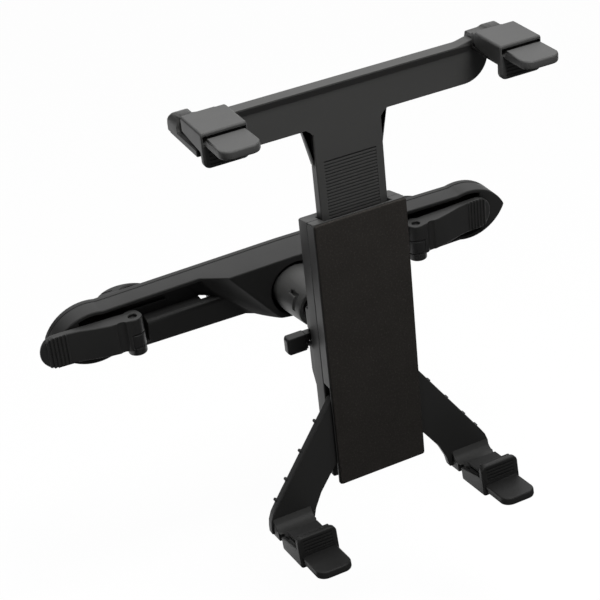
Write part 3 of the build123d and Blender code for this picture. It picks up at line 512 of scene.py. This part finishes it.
# Rear shell and front shell: the two halves of the holder's box, meeting in a seam along the sides.
# Three screws from behind hold them together; the corners are lightly radiused.
SHELL_RADIUS = 0.0005
SHELL_SCREW_PLACES = [(-0.020275, 0.060), (0.020275, 0.060), (0.0, -0.0665)]
SHELL_SCREW_SPAN = (0.0178, 0.0044)
dress(radiused("rear_shell", SHELL_RADIUS), body_plastic)
dress(radiused("front_shell", SHELL_RADIUS), body_plastic)
shell_screws = cross_screws("shell_cross_screws", "shell_screws", SHELL_SCREW_PLACES, SHELL_SCREW_SPAN)
dress(shell_screws, zinc)

# Front pad: a one millimetre sheet of closed-cell foam, glued to the front shell to protect the tablet.
# It is stamped out of a larger sheet, so its edge is rolled over by the die.
PAD_SIZE = (0.0462, 0.1422)
PAD_THICK = 0.001
PAD_CORNER = 0.0012
PAD_ROLL = 0.0005
PAD_MARGIN = [0.0, 0.00006, 0.00016, 0.0003, PAD_ROLL, 0.0009]
PAD_FLAT = 0.0006
PAD_CELLS = (20, 64)
PAD_SWAY = 0.00003
PAD_WAVES = (310, 170)
PAD_BLACK = (0.0135, 0.0122, 0.0110)
PAD_SPECK = (0.040, 0.037, 0.034)
FOAM_CELLS_PER_METRE = 1900.0
FOAM_SPECKS_PER_METRE = 1100.0
FOAM_PATCHES_PER_METRE = 60.0
FOAM_DEPTH = 0.00008
FOAM_STRENGTH = 0.7
FOAM_SHEEN = 0.25
FOAM_ROUGHNESS = (0.72, 0.12)
FOAM_ANGLE = math.radians(50)
SPECK_START = 0.52
SPECK_GAIN = 5.0
SPECK_SHARE = 0.55
PATCH_SHARE = 0.3


def stations(half, cells):
    """Grid lines from one side of the sheet to the other, close together at its rolled edges."""
    inner = half - PAD_MARGIN[-1] - PAD_FLAT
    middle = [-inner + 2 * inner * i / cells for i in range(cells + 1)]
    return [-half + m for m in PAD_MARGIN] + middle + [half - m for m in reversed(PAD_MARGIN)]


def foam_sheet(name, node_name):
    half_x, half_z = PAD_SIZE[0] / 2, PAD_SIZE[1] / 2
    shape = bmesh.new()
    rows = []
    for z in stations(half_z, PAD_CELLS[1]):
        row = []
        for x in stations(half_x, PAD_CELLS[0]):
            over_x = abs(x) - (half_x - PAD_CORNER)
            over_z = abs(z) - (half_z - PAD_CORNER)
            px, pz = x, z
            inset = min(half_x - abs(x), half_z - abs(z))
            if over_x > 0 and over_z > 0:
                length = math.hypot(over_x, over_z)
                reach = max(over_x, over_z)
                px = math.copysign(half_x - PAD_CORNER + over_x / length * reach, x)
                pz = math.copysign(half_z - PAD_CORNER + over_z / length * reach, z)
                inset = PAD_CORNER - reach
            drop = 0.0
            if inset < PAD_ROLL:
                drop = PAD_ROLL * (1 - math.sqrt(max(0.0, 1 - (1 - inset / PAD_ROLL) ** 2)))
            sway = 0.0
            if inset > PAD_FLAT:
                sway = PAD_SWAY * math.sin(px * PAD_WAVES[0] + 1.0) * math.cos(pz * PAD_WAVES[1])
            row.append(shape.verts.new((px, drop + max(0.0, sway), pz)))
        rows.append(row)
    for low, high in zip(rows, rows[1:]):
        for i in range(len(low) - 1):
            shape.faces.new((low[i], low[i + 1], high[i + 1], high[i]))
    rim = [line for line in shape.edges if line.is_boundary]
    grown = bmesh.ops.extrude_edge_only(shape, edges=rim)["geom"]
    skirt = [v for v in grown if isinstance(v, bmesh.types.BMVert)]
    for v in skirt:
        v.co.y = PAD_THICK
    back_rim = [line for line in grown if isinstance(line, bmesh.types.BMEdge) and line.is_boundary]
    bmesh.ops.contextual_create(shape, geom=back_rim)
    bmesh.ops.remove_doubles(shape, verts=shape.verts, dist=1e-7)
    bmesh.ops.recalc_face_normals(shape, faces=shape.faces)
    mesh = bpy.data.meshes.new(name)
    shape.to_mesh(mesh)
    shape.free()
    mesh.shade_smooth()
    mesh.set_sharp_from_angle(angle=FOAM_ANGLE)
    piece = bpy.data.objects.new(name, mesh)
    bpy.context.scene.collection.objects.link(piece)
    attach(piece, frame["nodes"][node_name]["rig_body"])
    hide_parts(node_name)
    return piece


def speckled_foam(name):
    material = bpy.data.materials.new(name)
    material.use_nodes = True
    tree = material.node_tree
    surface = tree.nodes["Principled BSDF"]
    surface.inputs["Specular IOR Level"].default_value = FOAM_SHEEN
    where = tree.nodes.new("ShaderNodeTexCoord").outputs["Object"]
    cells = tree.nodes.new("ShaderNodeTexVoronoi")
    cells.inputs["Scale"].default_value = FOAM_CELLS_PER_METRE
    tree.links.new(where, cells.inputs["Vector"])
    specks = cloud_node(tree, where, FOAM_SPECKS_PER_METRE, detail=3.0, rough=0.7)
    patches = cloud_node(tree, where, FOAM_PATCHES_PER_METRE, detail=4.0, rough=0.6)
    raised = math_node(tree, "SUBTRACT", specks, SPECK_START)
    raised = math_node(tree, "MULTIPLY", raised, SPECK_GAIN)
    raised = math_node(tree, "MINIMUM", raised, 1.0)
    raised = math_node(tree, "MAXIMUM", raised, 0.0)
    specked = math_node(tree, "MULTIPLY", raised, SPECK_SHARE)
    clouded = math_node(tree, "MULTIPLY", patches, PATCH_SHARE)
    tone = math_node(tree, "ADD", specked, clouded)
    blend = tree.nodes.new("ShaderNodeMix")
    blend.data_type = "RGBA"
    blend.inputs["A"].default_value = (*PAD_BLACK, 1)
    blend.inputs["B"].default_value = (*PAD_SPECK, 1)
    tree.links.new(tone, blend.inputs["Factor"])
    tree.links.new(blend.outputs["Result"], surface.inputs["Base Color"])
    rough = math_node(tree, "MULTIPLY", patches, FOAM_ROUGHNESS[1])
    rough = math_node(tree, "ADD", rough, FOAM_ROUGHNESS[0])
    tree.links.new(rough, surface.inputs["Roughness"])
    relief = tree.nodes.new("ShaderNodeBump")
    relief.inputs["Distance"].default_value = FOAM_DEPTH
    relief.inputs["Strength"].default_value = FOAM_STRENGTH
    height = math_node(tree, "ADD", cells.outputs["Distance"], specks)
    tree.links.new(height, relief.inputs["Height"])
    tree.links.new(relief.outputs["Normal"], surface.inputs["Normal"])
    return material


dress(foam_sheet("front_pad_foam", "front_pad"), speckled_foam("pad_foam"))

# T arm: the sliding stem with its ribbed grip panel, the crossbar, and the two rails the claws push onto.
# One black moulding, hollow behind; the grip ribs and the lip along the top are part of it.
ARM_BLACK = (0.032, 0.032, 0.0312)
ARM_RUBBED = (0.085, 0.084, 0.082)
ARM_RADIUS = 0.0006
BOSS_FRONT = 0.00095
RAMP_START = 0.054
RAIL_LEVEL = 0.1346
RAIL_STEP = 0.0703
RAIL_CREST = 0.1377
RAMP_LEVEL = 0.1340
RAMP_END = 0.06355
RAMP_FRONT = 0.0045
BOSS_KEEP = 0.12
RAMP_KEEP = 0.4


def settle_bosses(piece):
    """Lower the ramps beside the rails, and the inner half of the left boss with its ramp."""
    for v in piece.data.vertices:
        x, y, z = v.co
        if -RAIL_STEP < x < -RAMP_START and y > BOSS_FRONT and RAIL_LEVEL < z < RAIL_CREST:
            v.co.z = RAIL_LEVEL + BOSS_KEEP * (z - RAIL_LEVEL)
        if RAMP_START < x < RAMP_END and y > RAMP_FRONT and z > RAMP_LEVEL:
            v.co.z = RAMP_LEVEL + RAMP_KEEP * (z - RAMP_LEVEL)


arm_plastic = moulded_plastic("arm_plastic", ARM_BLACK, ARM_RUBBED, roughness=0.43, grain=2300.0)
t_arm = radiused("t_arm", ARM_RADIUS)
settle_bosses(t_arm)
dress(t_arm, arm_plastic)

# Claws: the two boots pushed over the arm's rails; lip, ribbed nose and thumb tab are one moulding.
# A deep gap runs along the root of the tab, under the brow of the lip.
# A rubber pad is glued inside each lip, against the tablet's edge.
CLAW_BLACK = (0.036, 0.036, 0.0355)
CLAW_RUBBED = (0.095, 0.095, 0.093)
CLAW_RADIUS = 0.0008
RUBBER_BLACK = (0.012, 0.012, 0.012)
RUBBER_RUBBED = (0.035, 0.035, 0.034)
PAD_EDGE = 0.0004
BROW_REACH = 0.0095
BROW_Y = (-0.0279, -0.0242)
BROW_DROP = (0.0046, 0.0015)
boot_plastic = moulded_plastic("boot_plastic", CLAW_BLACK, CLAW_RUBBED, roughness=0.42, grain=2000.0,
                               depth=0.00004)
black_rubber = moulded_plastic("black_rubber", RUBBER_BLACK, RUBBER_RUBBED, roughness=0.78, grain=1500.0,
                               depth=0.00006)
for side in ("left", "right"):
    claw = radiused(side + "_claw", CLAW_RADIUS)
    low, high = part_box(side + "_claw")
    middle = (low[0] + high[0]) / 2
    carved(claw, square_hole((middle - BROW_REACH, BROW_Y[0], high[2] - BROW_DROP[0]),
                             (middle + BROW_REACH, BROW_Y[1], high[2] - BROW_DROP[1])))
    dress(claw, boot_plastic)
    dress(radiused(side + "_claw_pad", PAD_EDGE), black_rubber)

# Legs: the two flat arms that swing out under the body on steel pins, with nubs along the outer edge.
# Each is one moulding that ends in the toe which its foot slides on. The pins are held between the shells.
LEG_RADIUS = 0.0006
LEG_BLACK = (0.014, 0.014, 0.0137)
LEG_RUBBED = (0.05, 0.05, 0.049)
leg_plastic = moulded_plastic("leg_plastic", LEG_BLACK, LEG_RUBBED, roughness=0.43, grain=2300.0)
for side in ("left", "right"):
    dress(radiused(side + "_leg", LEG_RADIUS), leg_plastic)
dress(frame["nodes"]["leg_pins"], zinc)

# Feet: the same boots upside down on the legs' toes, each with a rubber liner for the tablet's lower edge.
# They use the claws' boot plastic painted darker, as painted shade for the dimmer light low down at the
# feet, with the same grain.
# Painted shade: the boot colour made darker to stand for the weaker light reaching the feet.
FOOT_SHADE_BLACK = (0.0085, 0.0085, 0.0084)
FOOT_SHADE_RUBBED = (0.034, 0.034, 0.033)
shaded_boot_plastic = moulded_plastic("shaded_boot_plastic", FOOT_SHADE_BLACK, FOOT_SHADE_RUBBED, roughness=0.46, grain=2000.0,
                               depth=0.00004)
for side in ("left", "right"):
    dress(radiused(side + "_foot", CLAW_RADIUS), shaded_boot_plastic)
    dress(radiused(side + "_foot_pad", PAD_EDGE), black_rubber)

# Clamp units: slider plate in the tray, eye bolt through the slot, jaw with liner and nut behind the bar.
# The cam lever on its pin pulls the bolt and closes the jaw on the headrest post.
SLIDER_RADIUS = 0.0006
JAW_RADIUS = 0.0007
LEVER_RADIUS = 0.0006
LEVER_BLACK = (0.015, 0.015, 0.0147)
LEVER_RUBBED = (0.055, 0.055, 0.054)
COAT_BLACK = (0.013, 0.013, 0.013)
COAT_RUBBED = (0.06, 0.06, 0.06)
PIN_EDGE = 0.0003
EYE_EDGE = 0.0004
EYE_BORE = 0.0025
EYE_BARE = 0.00435
EYE_GROWTH = 0.17
PIN_SINK = 0.0013
VALLEY_REACH = 0.0074
VALLEY_FRONT = 0.0056
VALLEY_RADIUS = 0.0032
VALLEY_MARGIN = 0.001
VALLEY_SIDES = 40
JAW_SLIT = (0.0075, 0.0008, 0.0025)
JAW_SLIT_PLACE = (-0.0016, 0.1178)


def sunk_pin(name):
    """The lever's pin, driven in a little below the knuckle's top."""
    pin = radiused(name, PIN_EDGE)
    low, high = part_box(name)
    for v in pin.data.vertices:
        if v.co.z > (low[2] + high[2]) / 2:
            v.co.z -= PIN_SINK
    return pin


def full_eye(name, x, y):
    """The eye bolt, its coated eye filling the lever's notch."""
    bolt = radiused(name, EYE_EDGE)
    for v in bolt.data.vertices:
        out = math.hypot(v.co.x - x, v.co.y - y)
        if EYE_BORE < out < EYE_BARE and v.co.y < y + EYE_BARE:
            grown = 1 + EYE_GROWTH * (out - EYE_BORE) / (EYE_BARE - EYE_BORE)
            v.co.x = x + (v.co.x - x) * grown
            v.co.y = y + (v.co.y - y) * grown
    return bolt


def upright_groove(x, y, radius, low, high):
    """A round bar along Z, to take away from a piece."""
    shape = bmesh.new()
    bmesh.ops.create_cone(shape, cap_ends=True, segments=VALLEY_SIDES, radius1=radius, radius2=radius,
                          depth=high - low, matrix=Matrix.Translation((x, y, (low + high) / 2)))
    return shape


black_coat = moulded_plastic("black_coat", COAT_BLACK, COAT_RUBBED, roughness=0.38, grain=1600.0)
lever_plastic = moulded_plastic("lever_plastic", LEVER_BLACK, LEVER_RUBBED, roughness=0.40, grain=2200.0)
for side, outward in (("left", -1), ("right", 1)):
    dress(radiused(side + "_slider", SLIDER_RADIUS), bar_plastic)
    dress(sunk_pin(side + "_lever_pin"), black_coat)
    pin_low, pin_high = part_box(side + "_lever_pin")
    pin_x = (pin_low[0] + pin_high[0]) / 2
    pin_y = (pin_low[1] + pin_high[1]) / 2
    dress(full_eye(side + "_eye_bolt", pin_x, pin_y), black_coat)
    jaw = radiused(side + "_jaw", JAW_RADIUS)
    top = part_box(side + "_jaw")[1][2]
    slit_x = pin_x + JAW_SLIT_PLACE[0]
    carved(jaw, square_hole(
        (slit_x - JAW_SLIT[0] / 2, JAW_SLIT_PLACE[1] - JAW_SLIT[1] / 2, top - JAW_SLIT[2]),
        (slit_x + JAW_SLIT[0] / 2, JAW_SLIT_PLACE[1] + JAW_SLIT[1] / 2, top + JAW_SLIT[2])))
    dress(jaw, bar_plastic)
    dress(frame["nodes"][side + "_jaw_nut"], zinc)
    dress(frame["nodes"][side + "_jaw_liner"], black_rubber)
    lever = radiused(side + "_lever", LEVER_RADIUS)
    carved(lever, upright_groove(pin_x + outward * VALLEY_REACH, pin_y - VALLEY_FRONT, VALLEY_RADIUS,
                                 pin_low[2] - VALLEY_MARGIN, pin_high[2] + VALLEY_MARGIN))
    dress(lever, lever_plastic)

# Studio floor: a plain white sheet some way under the mount, which keeps a faint shadow.
# Its front half shows to the camera alone, so that the faces towards the camera don't mirror it.
FLOOR_Z = -0.20
FLOOR_WHITE = (0.92, 0.92, 0.92)
FLOOR_HALF = 1.5
FLOOR_SPLIT = 0.10
FLOOR_CELLS = 8
FLOOR_ROUGHNESS = 0.9
FLOOR_SHOWN_WHITE = 0.97
paper = bpy.data.materials.new("white_paper")
paper.use_nodes = True
tree = paper.node_tree
surface = tree.nodes["Principled BSDF"]
surface.inputs["Base Color"].default_value = (*FLOOR_WHITE, 1)
surface.inputs["Roughness"].default_value = FLOOR_ROUGHNESS
glow = tree.nodes.new("ShaderNodeEmission")
glow.inputs["Strength"].default_value = 1.0
ray = tree.nodes.new("ShaderNodeLightPath")
seen = math_node(tree, "MAXIMUM", ray.outputs["Is Camera Ray"], ray.outputs["Is Glossy Ray"])
seen = math_node(tree, "MULTIPLY", seen, FLOOR_SHOWN_WHITE)
mix = tree.nodes.new("ShaderNodeMixShader")
tree.links.new(seen, mix.inputs["Fac"])
tree.links.new(surface.outputs["BSDF"], mix.inputs[1])
tree.links.new(glow.outputs["Emission"], mix.inputs[2])
tree.links.new(mix.outputs["Shader"], tree.nodes["Material Output"].inputs["Surface"])
for name, direction in (("floor_back", 1), ("floor_front", -1)):
    shape = bmesh.new()
    bmesh.ops.create_grid(shape, x_segments=FLOOR_CELLS, y_segments=FLOOR_CELLS, size=FLOOR_HALF)
    floor_middle = (0, FLOOR_SPLIT + direction * FLOOR_HALF, FLOOR_Z)
    bmesh.ops.translate(shape, verts=shape.verts, vec=floor_middle)
    sheet_mesh = bpy.data.meshes.new(name)
    shape.to_mesh(sheet_mesh)
    shape.free()
    sheet_mesh.materials.append(paper)
    sheet = bpy.data.objects.new(name, sheet_mesh)
    bpy.context.scene.collection.objects.link(sheet)
    sheet.visible_glossy = direction > 0
    sheet.visible_diffuse = direction > 0

# Studio light: a white wall behind the mount, brightest from about 20 degrees upwards, dim in front of it.
# One small soft box close to the top lights the faces towards the camera and fades down to the feet.
# A large weak box around it gives the soft sheen on the upper faces.
WALL_TOWARDS = (0.25, 0.76, 0.60)
WALL_EDGE = (0.62, 0.97)
WALL_LEVEL = 0.94
ROOM_LEVEL = 0.10
KEY_PLACE = (0.03, -0.26, 0.68)
KEY_AIM = (0.0, 0.0, 0.10)
KEY_SIZE = 0.24
KEY_WATTS = 8.8
TOP_SIZE = 0.70
TOP_WATTS = 1.8
world = bpy.data.worlds.new("studio")
bpy.context.scene.world = world
world.use_nodes = True
tree = world.node_tree
sky = tree.nodes["Background"]
sky.inputs["Color"].default_value = (1, 1, 1, 1)
ray = tree.nodes.new("ShaderNodeLightPath")
where = tree.nodes.new("ShaderNodeTexCoord").outputs["Generated"]
facing = tree.nodes.new("ShaderNodeVectorMath")
facing.operation = "DOT_PRODUCT"
facing.inputs[1].default_value = Vector(WALL_TOWARDS).normalized()
tree.links.new(where, facing.inputs[0])
ramp = tree.nodes.new("ShaderNodeMapRange")
ramp.interpolation_type = "SMOOTHSTEP"
ramp.inputs["From Min"].default_value = WALL_EDGE[0]
ramp.inputs["From Max"].default_value = WALL_EDGE[1]
ramp.inputs["To Min"].default_value = ROOM_LEVEL
ramp.inputs["To Max"].default_value = WALL_LEVEL
tree.links.new(facing.outputs["Value"], ramp.inputs["Value"])
shown = tree.nodes.new("ShaderNodeMix")
tree.links.new(ray.outputs["Is Camera Ray"], shown.inputs["Factor"])
tree.links.new(ramp.outputs["Result"], shown.inputs["A"])
shown.inputs["B"].default_value = 1.0
tree.links.new(shown.outputs["Result"], sky.inputs["Strength"])


def soft_box(name, size, watts, place, aim, mirrored):
    lamp = bpy.data.lights.new(name, "AREA")
    lamp.shape = "SQUARE"
    lamp.size = size
    lamp.energy = watts
    box = bpy.data.objects.new(name, lamp)
    bpy.context.scene.collection.objects.link(box)
    box.location = place
    box.visible_glossy = mirrored
    box.rotation_euler = (Vector(aim) - box.location).to_track_quat("-Z", "Y").to_euler()


soft_box("key_box", KEY_SIZE, KEY_WATTS, KEY_PLACE, KEY_AIM, mirrored=False)
soft_box("top_box", TOP_SIZE, TOP_WATTS, KEY_PLACE, KEY_AIM, mirrored=True)
bpy.context.scene.view_settings.view_transform = "Standard"

# Camera: a long lens above and to the left, rolled a little, as the photograph was taken.
# Its place was fitted to the straight edges of the pad, the crossbar and the bar.
LENS = 99.79
SENSOR_WIDTH = 36.0
NEAR_CLIP = 0.01
FAR_CLIP = 50.0
TARGET = Vector((-0.0340, 0.0, 0.0375))
DISTANCE = 0.7449
AZIMUTH = math.radians(-22.77)
ELEVATION = math.radians(30.82)
ROLL = math.radians(-6.45)
level_back = Vector((math.sin(AZIMUTH), -math.cos(AZIMUTH), 0))
back = level_back * math.cos(ELEVATION) + Vector((0, 0, math.sin(ELEVATION)))
level_right = Vector((math.cos(AZIMUTH), math.sin(AZIMUTH), 0))
level_up = back.cross(level_right)
right = level_right * math.cos(ROLL) + level_up * math.sin(ROLL)
up = level_up * math.cos(ROLL) - level_right * math.sin(ROLL)
camera_data = bpy.data.cameras.new("camera")
camera_data.lens = LENS
camera_data.sensor_width = SENSOR_WIDTH
camera_data.clip_start = NEAR_CLIP
camera_data.clip_end = FAR_CLIP
camera = bpy.data.objects.new("camera", camera_data)
bpy.context.scene.collection.objects.link(camera)
turned = Matrix((right, up, back)).transposed().to_4x4()
camera.matrix_world = Matrix.Translation(TARGET + back * DISTANCE) @ turned
bpy.context.scene.camera = camera
